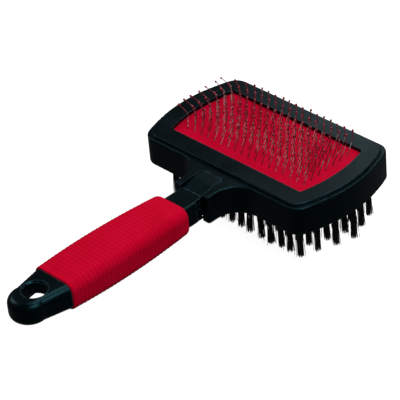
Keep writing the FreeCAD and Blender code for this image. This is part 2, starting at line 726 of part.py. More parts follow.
def main():
    os.makedirs("parts", exist_ok=True)
    holes = wire_holes()
    pieces = {
        "head_housing": head_housing(),
        "bezel_frame": bezel_frame(),
        "slicker_cushion": pad_layer(PAD_BOTTOM_Z, PAD_TOP_Z).cut(holes),
        "foundation_cloth": pad_layer(CLOTH_BOTTOM_Z, PAD_BOTTOM_Z).cut(holes),
        "foam_pad": pad_layer(FOAM_BOTTOM_Z, FOAM_TOP_Z),
        "bristle_block": bristle_block(),
        "tuft_anchors": tuft_anchors(),
        "block_screws": block_screws(),
        "pivot_pin": pivot_pin(),
        "pivot_bush": pivot_bush(),
        "friction_washers": friction_washers(),
        "release_button": release_button(),
        "button_spring": button_spring(),
        "rubber_grip": rubber_grip(),
        "handle_core": handle_core(),
    }
    for row in range(PIN_ROWS):
        pieces["staple_row_%d" % (row + 1)] = staple_row(row)
        pieces["ball_tips_%d" % (row + 1)] = tip_row(row)
    for row in range(TUFT_ROWS):
        pieces["bristle_row_%d" % (row + 1)] = bristle_row(row)

    tilt = math.degrees(resting_tilt())
    for shape in pieces.values():
        shape.rotate(vec(0, 0, 0), X_AXIS, tilt)
    bounds = FreeCAD.BoundBox()
    for shape in pieces.values():
        bounds.add(shape.optimalBoundingBox(False))
    shift = vec(-bounds.Center.x, -bounds.Center.y, -bounds.ZMin)
    for name, shape in pieces.items():
        shape.translate(shift)
        shape.exportStep("parts/%s.step" % name)

    print("tilt %.4f degrees, shift %.4f %.4f %.4f" % (tilt, shift.x, shift.y, shift.z))
    print("size %.2f x %.2f x %.2f" % (bounds.XLength, bounds.YLength, bounds.ZLength))
    for name, shape in pieces.items():
        if not shape.isValid() or any(solid.Volume <= 0 for solid in shape.Solids):
            print("bad shape:", name)
        print("%-18s %4d solids %10.2f mm3" % (name, len(shape.Solids), shape.Volume))


main()
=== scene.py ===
import json
import math
import random

import bpy
from mathutils import Matrix, Vector, noise


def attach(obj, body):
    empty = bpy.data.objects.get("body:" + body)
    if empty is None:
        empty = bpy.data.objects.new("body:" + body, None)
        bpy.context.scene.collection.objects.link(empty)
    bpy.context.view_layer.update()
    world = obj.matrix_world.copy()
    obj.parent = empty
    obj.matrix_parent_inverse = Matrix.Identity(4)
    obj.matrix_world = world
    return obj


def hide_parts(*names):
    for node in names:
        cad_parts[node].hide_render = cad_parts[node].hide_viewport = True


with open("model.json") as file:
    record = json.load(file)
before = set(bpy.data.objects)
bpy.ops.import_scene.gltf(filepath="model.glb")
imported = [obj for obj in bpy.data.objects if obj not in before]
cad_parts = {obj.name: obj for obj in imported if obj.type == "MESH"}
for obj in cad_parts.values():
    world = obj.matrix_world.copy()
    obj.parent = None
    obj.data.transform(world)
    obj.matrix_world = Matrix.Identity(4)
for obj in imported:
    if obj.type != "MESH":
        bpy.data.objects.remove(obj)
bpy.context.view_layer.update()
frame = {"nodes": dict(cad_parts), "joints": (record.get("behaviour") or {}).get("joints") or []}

# Two-sided grooming brush. Soft and fine pieces are built here in the head's own frame, in millimetres:
# X along the head, Y from the handle towards the head, Z up on the pin side, z = 0 at the bezel's top.
MM = 0.001
PIVOT = Vector((0, -49.5, -9.7))

# ---- camera ----
VIEW_AZIMUTH = 42.87           # degrees, 0 looks along +Y
VIEW_ELEVATION = 27.37
VIEW_ROLL = 4.21
VIEW_DISTANCE = 1.1168         # metres, from the target
VIEW_TARGET = Vector((0.0096, 0.0104, 0.0341))
LENS = 199.06                  # millimetres, as the sensor
SENSOR_WIDTH = 36.0
FLOOR_HALF = 20.0              # metres

# ---- head and pad ----
HEAD_HALF_LENGTH = 53.9
HEAD_HALF_DEPTH = 35.8
HEAD_CENTRE_Y = -0.9
HEAD_BOW = 8.0
HEAD_CORNER = 8.5
CORNER_SHRINK = 0.8
WINDOW_HALF_LENGTH = 49.0
WINDOW_HALF_DEPTH = 24.0
WINDOW_CENTRE_Y = -0.5
PAD_INSET = 4.1
PAD_TOP_Z = -2.2
PAD_BOTTOM_Z = -4.2
PAD_CROWN = 0.5
PAD_STEPS_X = 320
PAD_STEPS_Y = 200
PAD_UNEVEN = 0.06              # height of slow waves in the rubber
PAD_WAVES = 0.16               # how many of them fit in a millimetre
PUCKER_R = 0.55                # raised ring round each pin
PUCKER_WIDTH = 0.3
PUCKER_HEIGHT = 0.12
PIT_WIDTH = 0.4                # pit inside the ring, where the wire goes through
PIT_DEPTH = 0.3

# ---- wire pins ----
PIN_COLUMNS = 18
PIN_ROWS = 7
PIN_PITCH_X = 4.9
PIN_PITCH_Y = 5.5
WIRE_R = 0.225
WIRE_SIDES = 8
BEND_REACH = 0.5               # how far before a corner the wire starts to bend
BEND_STEPS = 4
CROWN_Z = -5.2                 # the part of a staple that joins two pins behind the cloth
FOOT_HEIGHT = 0.3              # heights above the pad's edge
KNEE_HEIGHT = 6.9
PIN_HEIGHT = 13.4
KNEE_LEAN = 4.2
TIP_LEAN = 4.8
SPLAY_START = 20.0             # pins nearer the left end than this splay outwards
SPLAY_END = 42.0
SPLAY = 8.6
SPLAY_KNEE_SHARE = 0.3         # how much of the sideways lean is reached at the knee
SPLAY_KNEE_BACK = 1.2          # a fully splayed pin leans this much less along Y
SPLAY_TIP_BACK = 3.4
SPLAY_DROP = 2.4
LEAN_CHANCE = 0.6              # a pin that does not splay is off by up to this much
KNEE_LEAN_CHANCE = 0.25
KNEE_HEIGHT_CHANCE = 0.3
PIN_HEIGHT_CHANCE = (-0.35, 0.2)

# ---- balls ----
BALL_R = 0.62
BALL_CHANCE = (0.9, 1.08)
BALL_STRETCH = 1.12            # length over width
BALL_NECK = 0.25               # share of the radius
BALL_POLE = 0.06               # share of the half turn left open at each pole, under the flat caps
BALL_BANDS = 8
BALL_SIDES = 12

# ---- bristle tufts ----
TUFT_ROWS = 6
TUFT_PITCH_X = 6.93
TUFT_PITCH_Y = 9.76
TUFT_R = 1.4
TUFT_TIP_R = 1.75
TUFT_TIP_Z = -40.9
TUFT_ROOT_Z = -16.9
TUFT_MARGIN = 3.9
BLOCK_INSET = 2.3
FILAMENTS = 54
STRAYS = 4
FILAMENT_R = 0.14
FILAMENT_SIDES = 4
FILAMENT_TAPER = 0.7
FILAMENT_SHARES = (0.0, 0.3, 0.6, 0.85, 1.0)
LEAN_X_CHANCE = (-0.5, 0.9)    # how far a whole tuft leans
LEAN_Y_CHANCE = (-0.8, 0.4)
TURN_CHANCE = 0.2
SPREAD_CHANCE = 0.25
BULGE_CHANCE = 0.25
CUT_CHANCE = 1.1               # filaments end up to this much short
STRAY_SPREAD = (0.8, 2.4)
STRAY_SHORT = 0.8
GOLDEN_TURN = math.pi * (3 - math.sqrt(5))

# ---- seeds, so that every pin, ball and tuft draws its own numbers ----
ROW_SEED = 100
BALL_SEED = 1000
TUFT_SEED = 5000

# ---- grip ----
GRIP_FRONT_Y = -68.9
GRIP_REAR_Y = -150.8
GRIP_REAR = (28.0, 16.5, 5.5)  # width, height and corner radius
GRIP_MIDDLE = (29.0, 18.5, 5.7)
GRIP_FRONT = (24.7, 16.8, 5.8)
GRIP_REAR_Z = -7.75            # height of the section's middle
GRIP_FRONT_Z = -9.1
GRIP_WALL = 3.3
GRIP_CORNER_SHRINK = 0.7
GRIP_FRONT_EDGE = 3.0
GRIP_REAR_EDGE = 0.8
BORE_EDGE = 0.05               # how far inside the end faces the bore starts
CORNERS = ((1, 1), (-1, 1), (-1, -1), (1, -1))
ARC_STEPS = 12
FLAT_STEPS = 8
RIB_FIRST_Y = -149.0
RIB_LAST_Y = -79.0
RIB_PITCH = 2.5
RIB_DEPTH = 0.26
RIB_SHARPNESS = 1.4            # the higher, the narrower the groove
RING_STEP = 0.21


def head_matrix():
    """From the head's frame, in millimetres, to the row frame, in metres."""
    joints = {joint["name"]: joint for joint in frame["joints"]}
    press = joints["button_press"]["axis"]
    turn = Matrix.Rotation(math.atan2(press[1], -press[2]), 4, "X")
    origin = Vector(joints["head_tilt"]["pos_m"]) - turn @ (PIVOT * MM)
    return Matrix.Translation(origin) @ turn @ Matrix.Scale(MM, 4)


HEAD_FRAME = head_matrix()


def clamp(value, low=0.0, high=1.0):
    return max(low, min(high, value))


def smooth_step(value):
    share = clamp(value)
    return share * share * (3 - 2 * share)


def either_way(chance, most):
    """A random amount, up to most in either direction."""
    return chance.uniform(-most, most)


# ---- node materials ----

# A Mix node repeats its socket names for each kind of data; these are the numbers of the colour ones.
MIX_INPUTS = (0, 6, 7)
MIX_OUTPUT = 2


class Graph:
    """A material's nodes around its Principled shader, with short calls for the ones used here."""

    def __init__(self, name, **constants):
        self.material = bpy.data.materials.new(name)
        self.material.use_nodes = True
        self.tree = self.material.node_tree
        self.shader = self.tree.nodes["Principled BSDF"]
        for socket, value in constants.items():
            self.shader.inputs[socket.replace("_", " ")].default_value = value
        self.place = self.node("TexCoord").outputs["Object"]

    def node(self, kind, inputs=None, **settings):
        made = self.tree.nodes.new("ShaderNode" + kind)
        for name, value in settings.items():
            setattr(made, name, value)
        for name, value in (inputs or {}).items():
            self.set(made.inputs[name], value)
        return made

    def set(self, socket, value):
        if isinstance(value, bpy.types.NodeSocket):
            self.tree.links.new(value, socket)
        else:
            socket.default_value = value

    def finish(self, **sockets):
        for name, value in sockets.items():
            self.set(self.shader.inputs[name.replace("_", " ")], value)
        return self.material

    def noise(self, scale, detail=2.0, stretch=None):
        """Cloudy noise from 0 to 1; stretch scales the axes before it."""
        place = self.place
        if stretch:
            place = self.node("Mapping", {"Vector": place, "Scale": stretch}).outputs[0]
        return self.node("TexNoise", {"Vector": place, "Scale": scale, "Detail": detail}).outputs[0]

    def cells(self, scale):
        """Distance from the middle of each cell."""
        return self.node("TexVoronoi", {"Vector": self.place, "Scale": scale}).outputs["Distance"]

    def attribute(self, name):
        return self.node("Attribute", attribute_name=name).outputs["Fac"]

    def remap(self, value, low, high, to_low=0.0, to_high=1.0):
        ends = {"From Min": low, "From Max": high, "To Min": to_low, "To Max": to_high}
        return self.node("MapRange", {"Value": value, **ends}).outputs[0]

    def maths(self, operation, first, second):
        """Both inputs have the same name, so they are set by number."""
        made = self.node("Math", operation=operation)
        self.set(made.inputs[0], first)
        self.set(made.inputs[1], second)
        return made.outputs[0]

    def mix(self, factor, first, second):
        """Colour first where factor is 0, and second where it is 1."""
        made = self.node("Mix", data_type="RGBA")
        for socket, value in zip(MIX_INPUTS, (factor, first, second)):
            self.set(made.inputs[socket], value)
        return made.outputs[MIX_OUTPUT]

    def bump(self, height, depth, under=None):
        made = self.node("Bump", {"Height": height, "Distance": depth, "Strength": 1.0})
        if under is not None:
            self.set(made.inputs["Normal"], under)
        return made.outputs[0]

    def edge_wear_and_highlight(self, width):
        """1 along convex and concave edges, broken up by noise: the mask of the edge wear and of the
        painted edge highlight.
        """
        rounded = self.node("Bevel", {"Radius": width}, samples=4).outputs[0]
        flat = self.node("NewGeometry").outputs["Normal"]
        agreement = self.node("VectorMath", operation="DOT_PRODUCT")
        self.set(agreement.inputs[0], rounded)
        self.set(agreement.inputs[1], flat)
        turning = self.remap(agreement.outputs["Value"], 0.995, 0.9)
        return self.maths("MULTIPLY", turning, self.remap(self.noise(420, 3), 0.3, 0.6))


def rgb(red, green, blue):
    return (red, green, blue, 1.0)


def times(colour, factor):
    """The colour made lighter by a factor over 1, or darker by one under it."""
    return rgb(*[share * factor for share in colour[:3]])


BLACK_SHINE = {"Specular_IOR_Level": 0.2, "Specular_Tint": rgb(0.2, 0.8, 1.0)}
RED_TINT = rgb(1.0, 0.05, 0.15)
RED_SHINE = {"IOR": 1.5, "Specular_IOR_Level": 0.03, "Specular_Tint": RED_TINT}
# Pale teal for the edges of the black plastic: partly wear, partly a painted edge highlight.
BLACK_WEAR_AND_HIGHLIGHT = rgb(0.06, 0.13, 0.16)


def moulded_black(name, base, roughness, grain):
    """Black injection-moulded plastic: cloudy gloss, hairline scratches, specks of dust, paler teal edges
    that are partly wear and partly a painted highlight.
    """
    graph = Graph(name, IOR=1.46, **BLACK_SHINE)
    smudges = graph.remap(graph.noise(70, 4), 0.35, 0.7)
    hairlines = graph.remap(graph.noise(30, 3, stretch=(1.0, 45.0, 45.0)), 0.62, 0.7)
    dust = graph.remap(graph.cells(420), 0.09, 0.03)
    wear_and_highlight = graph.edge_wear_and_highlight(0.0006)
    colour = graph.mix(smudges, base, times(base, 1.6))
    colour = graph.mix(graph.maths("MULTIPLY", dust, 0.06), colour, rgb(0.16, 0.20, 0.21))
    # Paler teal along the edges: partly wear, partly a painted highlight along them.
    colour = graph.mix(graph.maths("MULTIPLY", wear_and_highlight, 0.6), colour, BLACK_WEAR_AND_HIGHLIGHT)
    gloss = graph.remap(smudges, 0, 1, roughness, roughness + 0.1)
    gloss = graph.maths("ADD", gloss, graph.maths("MULTIPLY", hairlines, 0.12))
    gloss = graph.maths("ADD", gloss, graph.maths("MULTIPLY", wear_and_highlight, 0.15))
    waviness = graph.bump(graph.noise(110, 1), 0.00005)
    scored = graph.bump(hairlines, -0.000006, waviness)
    surface = graph.bump(graph.noise(2600, 3), grain, scored)
    return graph.finish(Base_Color=colour, Roughness=gloss, Normal=surface)


def grip_rubber():
    """Red rubber sleeve: matt crests rubbed paler, grooves darkened by painted shade and dirt, fine pitted
    skin.
    """
    sheen = {"Sheen_Weight": 0.04, "Sheen_Roughness": 0.4, "Sheen_Tint": RED_TINT}
    graph = Graph("grip_rubber", **RED_SHINE, **sheen)
    groove = graph.attribute("detail")
    cloud = graph.remap(graph.noise(55, 4), 0.3, 0.7)
    colour = graph.mix(cloud, rgb(0.50, 0.0010, 0.018), rgb(0.57, 0.0014, 0.026))
    # Painted shade and dirt: the grooves are darkened towards a deep red.
    colour = graph.mix(graph.maths("MULTIPLY", groove, 0.25), colour, rgb(0.28, 0.0006, 0.010))
    handled = graph.maths("MULTIPLY", graph.remap(graph.noise(240, 5), 0.52, 0.72), 0.2)
    colour = graph.mix(handled, colour, rgb(0.62, 0.002, 0.035))
    gloss = graph.remap(graph.noise(90, 4), 0.3, 0.7, 0.44, 0.62)
    skin = graph.bump(graph.noise(1500, 4), 0.00003)
    surface = graph.bump(graph.cells(3200), 0.00002, skin)
    return graph.finish(Base_Color=colour, Roughness=gloss, Normal=surface)


def pad_rubber():
    """Red latex pad: satin skin, shade in the pits where the wires go through."""
    graph = Graph("pad_rubber", **RED_SHINE)
    pit = graph.attribute("detail")
    cloud = graph.remap(graph.noise(80, 4), 0.3, 0.7)
    colour = graph.mix(cloud, rgb(0.44, 0.0008, 0.018), rgb(0.52, 0.0012, 0.026))
    colour = graph.mix(graph.maths("MULTIPLY", pit, 0.7), colour, rgb(0.12, 0.0005, 0.006))
    gloss = graph.remap(graph.noise(160, 3), 0.3, 0.7, 0.4, 0.58)
    skin = graph.bump(graph.noise(1100, 4), 0.00004)
    surface = graph.bump(graph.cells(2600), 0.00002, skin)
    return graph.finish(Base_Color=colour, Roughness=gloss, Normal=surface)


def pin_steel():
    """Drawn steel wire, lacquered dark red above the knee."""
    graph = Graph("pin_steel", IOR=1.5)
    lacquer = graph.remap(graph.attribute("detail"), 0.45, 0.6)
    tarnish = graph.remap(graph.noise(900, 3), 0.42, 0.58)
    dull = graph.maths("MAXIMUM", tarnish, graph.remap(graph.noise(42, 1), 0.5, 0.58))
    steel = graph.mix(dull, rgb(0.95, 0.93, 0.92), rgb(0.13, 0.04, 0.05))
    red = graph.mix(tarnish, rgb(0.20, 0.006, 0.020), rgb(0.11, 0.004, 0.012))
    colour = graph.mix(lacquer, steel, red)
    metal = graph.remap(lacquer, 0, 1, 0.75, 0.15)
    gloss = graph.remap(tarnish, 0, 1, 0.2, 0.42)
    drawn = graph.bump(graph.noise(5000, 2, stretch=(1.0, 1.0, 0.1)), 0.000008)
    return graph.finish(Base_Color=colour, Metallic=metal, Roughness=gloss, Normal=drawn)


def ball_resin():
    """Dark red dipped resin, glossy, with slightly uneven colour."""
    graph = Graph("ball_resin", IOR=1.52, Coat_Weight=0.5, Coat_Roughness=0.15)
    cloud = graph.remap(graph.noise(1400, 3), 0.3, 0.7)
    colour = graph.mix(cloud, rgb(0.19, 0.003, 0.016), rgb(0.30, 0.005, 0.028))
    gloss = graph.remap(cloud, 0, 1, 0.22, 0.4)
    return graph.finish(Base_Color=colour, Roughness=gloss, Normal=graph.bump(cloud, 0.00002))


def bristle_nylon():
    """Black nylon filament, greyer at the cut tip."""
    graph = Graph("bristle_nylon", IOR=1.53, Specular_IOR_Level=0.3)
    tip = graph.remap(graph.attribute("detail"), 0.88, 1.0)
    shade = graph.remap(graph.noise(800, 2), 0.3, 0.7)
    colour = graph.mix(shade, rgb(0.004, 0.0045, 0.005), rgb(0.012, 0.012, 0.013))
    colour = graph.mix(graph.maths("MULTIPLY", tip, 0.5), colour, rgb(0.06, 0.06, 0.062))
    gloss = graph.remap(graph.noise(2500, 2), 0.3, 0.7, 0.32, 0.5)
    ridged = graph.bump(graph.noise(4000, 2), 0.00001)
    return graph.finish(Base_Color=colour, Roughness=gloss, Normal=ridged)


def bright_metal(name, colour, roughness):
    """Plated or spring steel with fine lines along X and patches of tarnish."""
    graph = Graph(name, Metallic=1.0)
    tarnish = graph.remap(graph.noise(260, 4), 0.4, 0.7)
    shaded = graph.mix(tarnish, colour, times(colour, 0.55))
    gloss = graph.remap(tarnish, 0, 1, roughness, roughness + 0.2)
    lines = graph.bump(graph.noise(1800, 2, stretch=(0.05, 1.0, 1.0)), 0.00001)
    return graph.finish(Base_Color=shaded, Roughness=gloss, Normal=lines)


def black_acetal():
    """Bearing plastic: smooth and waxy with faint turning marks."""
    graph = Graph("black_acetal", IOR=1.48)
    cloud = graph.remap(graph.noise(300, 3), 0.3, 0.7)
    colour = graph.mix(cloud, rgb(0.010, 0.010, 0.011), rgb(0.022, 0.022, 0.023))
    gloss = graph.remap(cloud, 0, 1, 0.3, 0.45)
    return graph.finish(Base_Color=colour, Roughness=gloss, Normal=graph.bump(cloud, 0.00003))


def woven_cloth():
    """Plain weave under the pad, from two crossed sets of threads."""
    graph = Graph("woven_cloth")
    threads = []
    for direction in ("X", "Y"):
        wave = graph.node("TexWave", {"Vector": graph.place, "Scale": 420.0}, bands_direction=direction)
        threads.append(wave.outputs["Fac"])
    weave = graph.maths("MULTIPLY", threads[0], threads[1])
    colour = graph.mix(weave, rgb(0.10, 0.08, 0.06), rgb(0.48, 0.40, 0.32))
    gloss = graph.remap(graph.noise(500), 0.3, 0.7, 0.8, 0.95)
    return graph.finish(Base_Color=colour, Roughness=gloss, Normal=graph.bump(weave, 0.0001))


def open_foam():
    """Open-cell foam: pale skin with dark pores."""
    graph = Graph("open_foam")
    pores = graph.remap(graph.cells(900), 0.1, 0.45)
    colour = graph.mix(pores, rgb(0.10, 0.09, 0.07), rgb(0.62, 0.58, 0.46))
    gloss = graph.remap(graph.noise(400), 0.3, 0.7, 0.85, 1.0)
    return graph.finish(Base_Color=colour, Roughness=gloss, Normal=graph.bump(pores, 0.0003))


def make_materials():
    """One finish for each material slot of the record."""
    return {
        "black_gloss": moulded_black("gloss_plastic", rgb(0.0001, 0.0009, 0.0015), 0.27, 0.000004),
        "black_satin": moulded_black("satin_plastic", rgb(0.0002, 0.0011, 0.0017), 0.36, 0.000012),
        "red_rubber": grip_rubber(),
        "red_pad": pad_rubber(),
        "cloth": woven_cloth(),
        "foam": open_foam(),
        "pin_wire": pin_steel(),
        "red_ball": ball_resin(),
        "black_bristle": bristle_nylon(),
        "anchor_wire": bright_metal("anchor_steel", rgb(0.55, 0.54, 0.52), 0.35),
        "plated_steel": bright_metal("plated_steel", rgb(0.62, 0.62, 0.60), 0.22),
        "spring_steel": bright_metal("spring_steel", rgb(0.45, 0.44, 0.43), 0.28),
        "acetal": black_acetal(),
    }


MATERIALS = make_materials()


# ---- mesh building ----

class Shape:
    """Vertices in the head's frame, faces, and one number per vertex that the material reads as detail."""

    def __init__(self):
        self.vertices = []
        self.faces = []
        self.detail = []

    def add_tube(self, rings, detail):
        """Rings of equal count, joined in order, with a cap at both ends."""
        first, last = self.join_rings(rings, detail)
        count = len(rings[0])
        self.faces.append(tuple(reversed(range(first, first + count))))
        self.faces.append(tuple(range(last, last + count)))

    def add_loop(self, rings, detail):
        """Rings of equal count, joined in order, and the last one joined to the first."""
        first, last = self.join_rings(rings, detail)
        self.join_pair(last, first, len(rings[0]))

    def join_rings(self, rings, detail):
        """Gives the numbers of the first vertex of the first ring and of the last."""
        first = len(self.vertices)
        count = len(rings[0])
        for ring, value in zip(rings, detail):
            self.vertices.extend(ring)
            self.detail.extend([value] * count)
        last = first + (len(rings) - 1) * count
        for low in range(first, last, count):
            self.join_pair(low, low + count, count)
        return first, last

    def join_pair(self, low, high, count):
        for side in range(count):
            after = (side + 1) % count
            self.faces.append((low + side, low + after, high + after, high + side))


def add_piece(shape, name, slot, body, stands_for):
    """Makes the mesh object, in the row frame, and puts it in the place of a CAD node."""
    mesh = bpy.data.meshes.new(name)
    mesh.from_pydata([HEAD_FRAME @ vertex for vertex in shape.vertices], [], shape.faces)
    values = mesh.attributes.new("detail", "FLOAT", "POINT")
    values.data.foreach_set("value", shape.detail)
    mesh.materials.append(MATERIALS[slot])
    mesh.shade_smooth()
    mesh.update()
    piece = bpy.data.objects.new(name, mesh)
    bpy.context.scene.collection.objects.link(piece)
    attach(piece, body)
    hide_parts(stands_for)
    return piece


def tube_rings(path, radii, sides):
    """Circles square to a path, carried along it without twist."""
    rings = []
    across = None
    for index, point in enumerate(path):
        before = path[max(index - 1, 0)]
        after = path[min(index + 1, len(path) - 1)]
        along = (after - before).normalized()
        if across is None:
            across = along.orthogonal()
        across = (across - along * across.dot(along)).normalized()
        upward = along.cross(across)
        ring = []
        for side in range(sides):
            angle = 2 * math.pi * side / sides
            ring.append(point + (across * math.cos(angle) + upward * math.sin(angle)) * radii[index])
        rings.append(ring)
    return rings


def rounded_path(points, reach, steps):
    """The points' polyline with each corner drawn round, starting reach before it."""
    path = [points[0]]
    for before, corner, after in zip(points, points[1:], points[2:]):
        begin = corner + (before - corner).normalized() * reach
        end = corner + (after - corner).normalized() * reach
        for step in range(steps + 1):
            share = step / steps
            path.append(begin * (1 - share) ** 2 + corner * 2 * share * (1 - share) + end * share**2)
    path.append(points[-1])
    return path


# ---- rubber grip ----

def grip_size(share):
    """Width, height and corner radius at a share of the length, on a parabola through the sections."""
    weights = (
        2 * (share - 0.5) * (share - 1),
        -4 * share * (share - 1),
        2 * share * (share - 0.5),
    )
    return [
        sum(weight * value for weight, value in zip(weights, values))
        for values in zip(GRIP_REAR, GRIP_MIDDLE, GRIP_FRONT)
    ]


def grip_ring(y, inset):
    """A rounded rectangle across the handle, drawn in by inset."""
    share = (y - GRIP_REAR_Y) / (GRIP_FRONT_Y - GRIP_REAR_Y)
    width, height, corner = grip_size(clamp(share))
    middle_z = GRIP_REAR_Z + share * (GRIP_FRONT_Z - GRIP_REAR_Z)
    radius = corner - GRIP_CORNER_SHRINK * inset
    flat_x = width / 2 - inset - radius
    flat_z = height / 2 - inset - radius

    def on_corner(quarter, turn):
        side_x, side_z = CORNERS[quarter % 4]
        angle = (quarter + turn) * math.pi / 2
        x = side_x * flat_x + radius * math.cos(angle)
        z = side_z * flat_z + radius * math.sin(angle)
        return Vector((x, y, middle_z + z))

    outline = []
    for quarter in range(4):
        for step in range(ARC_STEPS + 1):
            outline.append(on_corner(quarter, step / ARC_STEPS))
        start = outline[-1]
        end = on_corner(quarter + 1, 0)
        for step in range(1, FLAT_STEPS):
            outline.append(start.lerp(end, step / FLAT_STEPS))
    return outline


def rib_groove(y):
    """0 on a rib's crest and 1 in the groove between two ribs; 0 outside the ribbed length."""
    fade = smooth_step((y - RIB_FIRST_Y) / RIB_PITCH) * smooth_step((RIB_LAST_Y - y) / RIB_PITCH)
    wave = abs(math.sin(math.pi * (y - RIB_FIRST_Y) / RIB_PITCH))
    return fade * (1 - wave) ** RIB_SHARPNESS


def edge_inset(distance, radius):
    """How far a rounded edge of this radius has drawn in at a distance from the end face."""
    if distance >= radius:
        return 0.0
    return radius - math.sqrt(radius**2 - (radius - distance) ** 2)


def rubber_sleeve():
    """The ribbed sleeve: outer skin from tail to neck, then back along the core."""
    shape = Shape()
    rings = []
    detail = []
    steps = round((GRIP_FRONT_Y - GRIP_REAR_Y) / RING_STEP)
    for step in range(steps + 1):
        y = GRIP_REAR_Y + (GRIP_FRONT_Y - GRIP_REAR_Y) * step / steps
        groove = rib_groove(y)
        inset = groove * RIB_DEPTH
        inset += edge_inset(y - GRIP_REAR_Y, GRIP_REAR_EDGE)
        inset += edge_inset(GRIP_FRONT_Y - y, GRIP_FRONT_EDGE)
        rings.append(grip_ring(y, inset))
        detail.append(groove)
    # The rings along the core carry the full groove value, so the end faces darken towards the core with
    # the painted groove shade.
    for y in (GRIP_FRONT_Y - BORE_EDGE, GRIP_REAR_Y + BORE_EDGE):
        rings.append(grip_ring(y, GRIP_WALL))
        detail.append(1.0)
    shape.add_loop(rings, detail)
    add_piece(shape, "rubber_sleeve", "red_rubber", "handle", "rubber_grip")


# ---- pin pad ----

def bowed_reach(y, inset):
    """Half the head outline's length, drawn in by inset, at y from its centre line."""
    corner = HEAD_CORNER - CORNER_SHRINK * inset
    half_depth = HEAD_HALF_DEPTH - inset
    share = clamp(abs(y) / half_depth)
    into_corner = max(0.0, share * half_depth - (half_depth - corner))
    rounding = corner - math.sqrt(max(0.0, corner**2 - into_corner**2))
    return HEAD_HALF_LENGTH - inset + HEAD_BOW * (1 - share**2) - rounding


def pin_x(column):
    return (column - (PIN_COLUMNS - 1) / 2) * PIN_PITCH_X


def pin_y(row):
    return (row - (PIN_ROWS - 1) / 2) * PIN_PITCH_Y


def pin_distance(x, y):
    """Distance to the nearest pin's foot."""
    column = clamp(round(x / PIN_PITCH_X + (PIN_COLUMNS - 1) / 2), 0, PIN_COLUMNS - 1)
    row = clamp(round(y / PIN_PITCH_Y + (PIN_ROWS - 1) / 2), 0, PIN_ROWS - 1)
    return math.hypot(x - pin_x(column), y - pin_y(row))


def pad_height(x, y):
    """Height of the pad's top, and how deep in a pit the place is."""
    across = clamp(1 - (x / WINDOW_HALF_LENGTH) ** 2)
    along = clamp(1 - ((y - WINDOW_CENTRE_Y) / WINDOW_HALF_DEPTH) ** 2)
    distance = pin_distance(x, y)
    ring = math.exp(-(((distance - PUCKER_R) / PUCKER_WIDTH) ** 2))
    pit = math.exp(-((distance / PIT_WIDTH) ** 2))
    uneven = PAD_UNEVEN * noise.noise(Vector((x, y, 0)) * PAD_WAVES) * across * along
    rise = PAD_CROWN * across * along + uneven + PUCKER_HEIGHT * ring - PIT_DEPTH * pit
    return PAD_TOP_Z + rise, pit


def pin_pad():
    """Crowned rubber pad with a puckered pit at each wire, over its flat underside."""
    shape = Shape()
    for step_y in range(PAD_STEPS_Y + 1):
        y = (2 * step_y / PAD_STEPS_Y - 1) * (HEAD_HALF_DEPTH - PAD_INSET)
        reach = bowed_reach(y, PAD_INSET)
        for step_x in range(PAD_STEPS_X + 1):
            x = (2 * step_x / PAD_STEPS_X - 1) * reach
            z, pit = pad_height(x, HEAD_CENTRE_Y + y)
            shape.vertices.append(Vector((x, HEAD_CENTRE_Y + y, z)))
            shape.detail.append(pit)
    row = PAD_STEPS_X + 1
    for step_y in range(PAD_STEPS_Y):
        for step_x in range(PAD_STEPS_X):
            near = step_y * row + step_x
            shape.faces.append((near, near + 1, near + row + 1, near + row))
    rim = list(range(PAD_STEPS_X))
    rim += [step * row + PAD_STEPS_X for step in range(PAD_STEPS_Y)]
    rim += [PAD_STEPS_Y * row + step for step in range(PAD_STEPS_X, 0, -1)]
    rim += [step * row for step in range(PAD_STEPS_Y, 0, -1)]
    under = len(shape.vertices)
    for index in rim:
        above = shape.vertices[index]
        shape.vertices.append(Vector((above.x, above.y, PAD_BOTTOM_Z)))
        shape.detail.append(0.0)
    for side, index in enumerate(rim):
        after = (side + 1) % len(rim)
        shape.faces.append((under + side, under + after, rim[after], index))
    shape.faces.append(tuple(range(len(shape.vertices) - 1, under - 1, -1)))
    pad = add_piece(shape, "pin_pad", "red_pad", "head", "slicker_cushion")


# ---- wire pins and their balls ----

def pin_bends(column, row):
    """Foot, knee and tip of one pin; the left end's pins splay outwards, and every pin is a little off."""
    chance = random.Random(ROW_SEED * row + column)
    x = pin_x(column)
    y = pin_y(row)
    splay = clamp((-x - SPLAY_START) / (SPLAY_END - SPLAY_START)) ** 3
    lean_x = -SPLAY * splay + either_way(chance, LEAN_CHANCE)
    lean_y = TIP_LEAN - SPLAY_TIP_BACK * splay + either_way(chance, LEAN_CHANCE) * (1 + splay)
    knee_y = KNEE_LEAN - SPLAY_KNEE_BACK * splay + either_way(chance, KNEE_LEAN_CHANCE)
    top = PIN_HEIGHT - SPLAY_DROP * splay + chance.uniform(*PIN_HEIGHT_CHANCE)
    bend = KNEE_HEIGHT + either_way(chance, KNEE_HEIGHT_CHANCE)
    foot = Vector((x, y, PAD_TOP_Z + FOOT_HEIGHT))
    knee = Vector((x + SPLAY_KNEE_SHARE * lean_x, y + knee_y, PAD_TOP_Z + bend))
    tip = Vector((x + lean_x, y + lean_y, PAD_TOP_Z + top))
    return foot, knee, tip


def wire_row(row):
    """The staples of one row: two pins and the crown that joins them behind the cloth."""
    shape = Shape()
    for column in range(0, PIN_COLUMNS, 2):
        left = pin_bends(column, row)
        right = pin_bends(column + 1, row)
        crown_left = Vector((left[0].x, left[0].y, CROWN_Z))
        crown_right = Vector((right[0].x, right[0].y, CROWN_Z))
        points = [*reversed(left), crown_left, crown_right, *right]
        path = rounded_path(points, BEND_REACH, BEND_STEPS)
        rings = tube_rings(path, [WIRE_R] * len(path), WIRE_SIDES)
        detail = [clamp((point.z - PAD_TOP_Z) / PIN_HEIGHT) for point in path]
        shape.add_tube(rings, detail)
    add_piece(shape, f"wire_pins_{row + 1}", "pin_wire", "head", f"staple_row_{row + 1}")


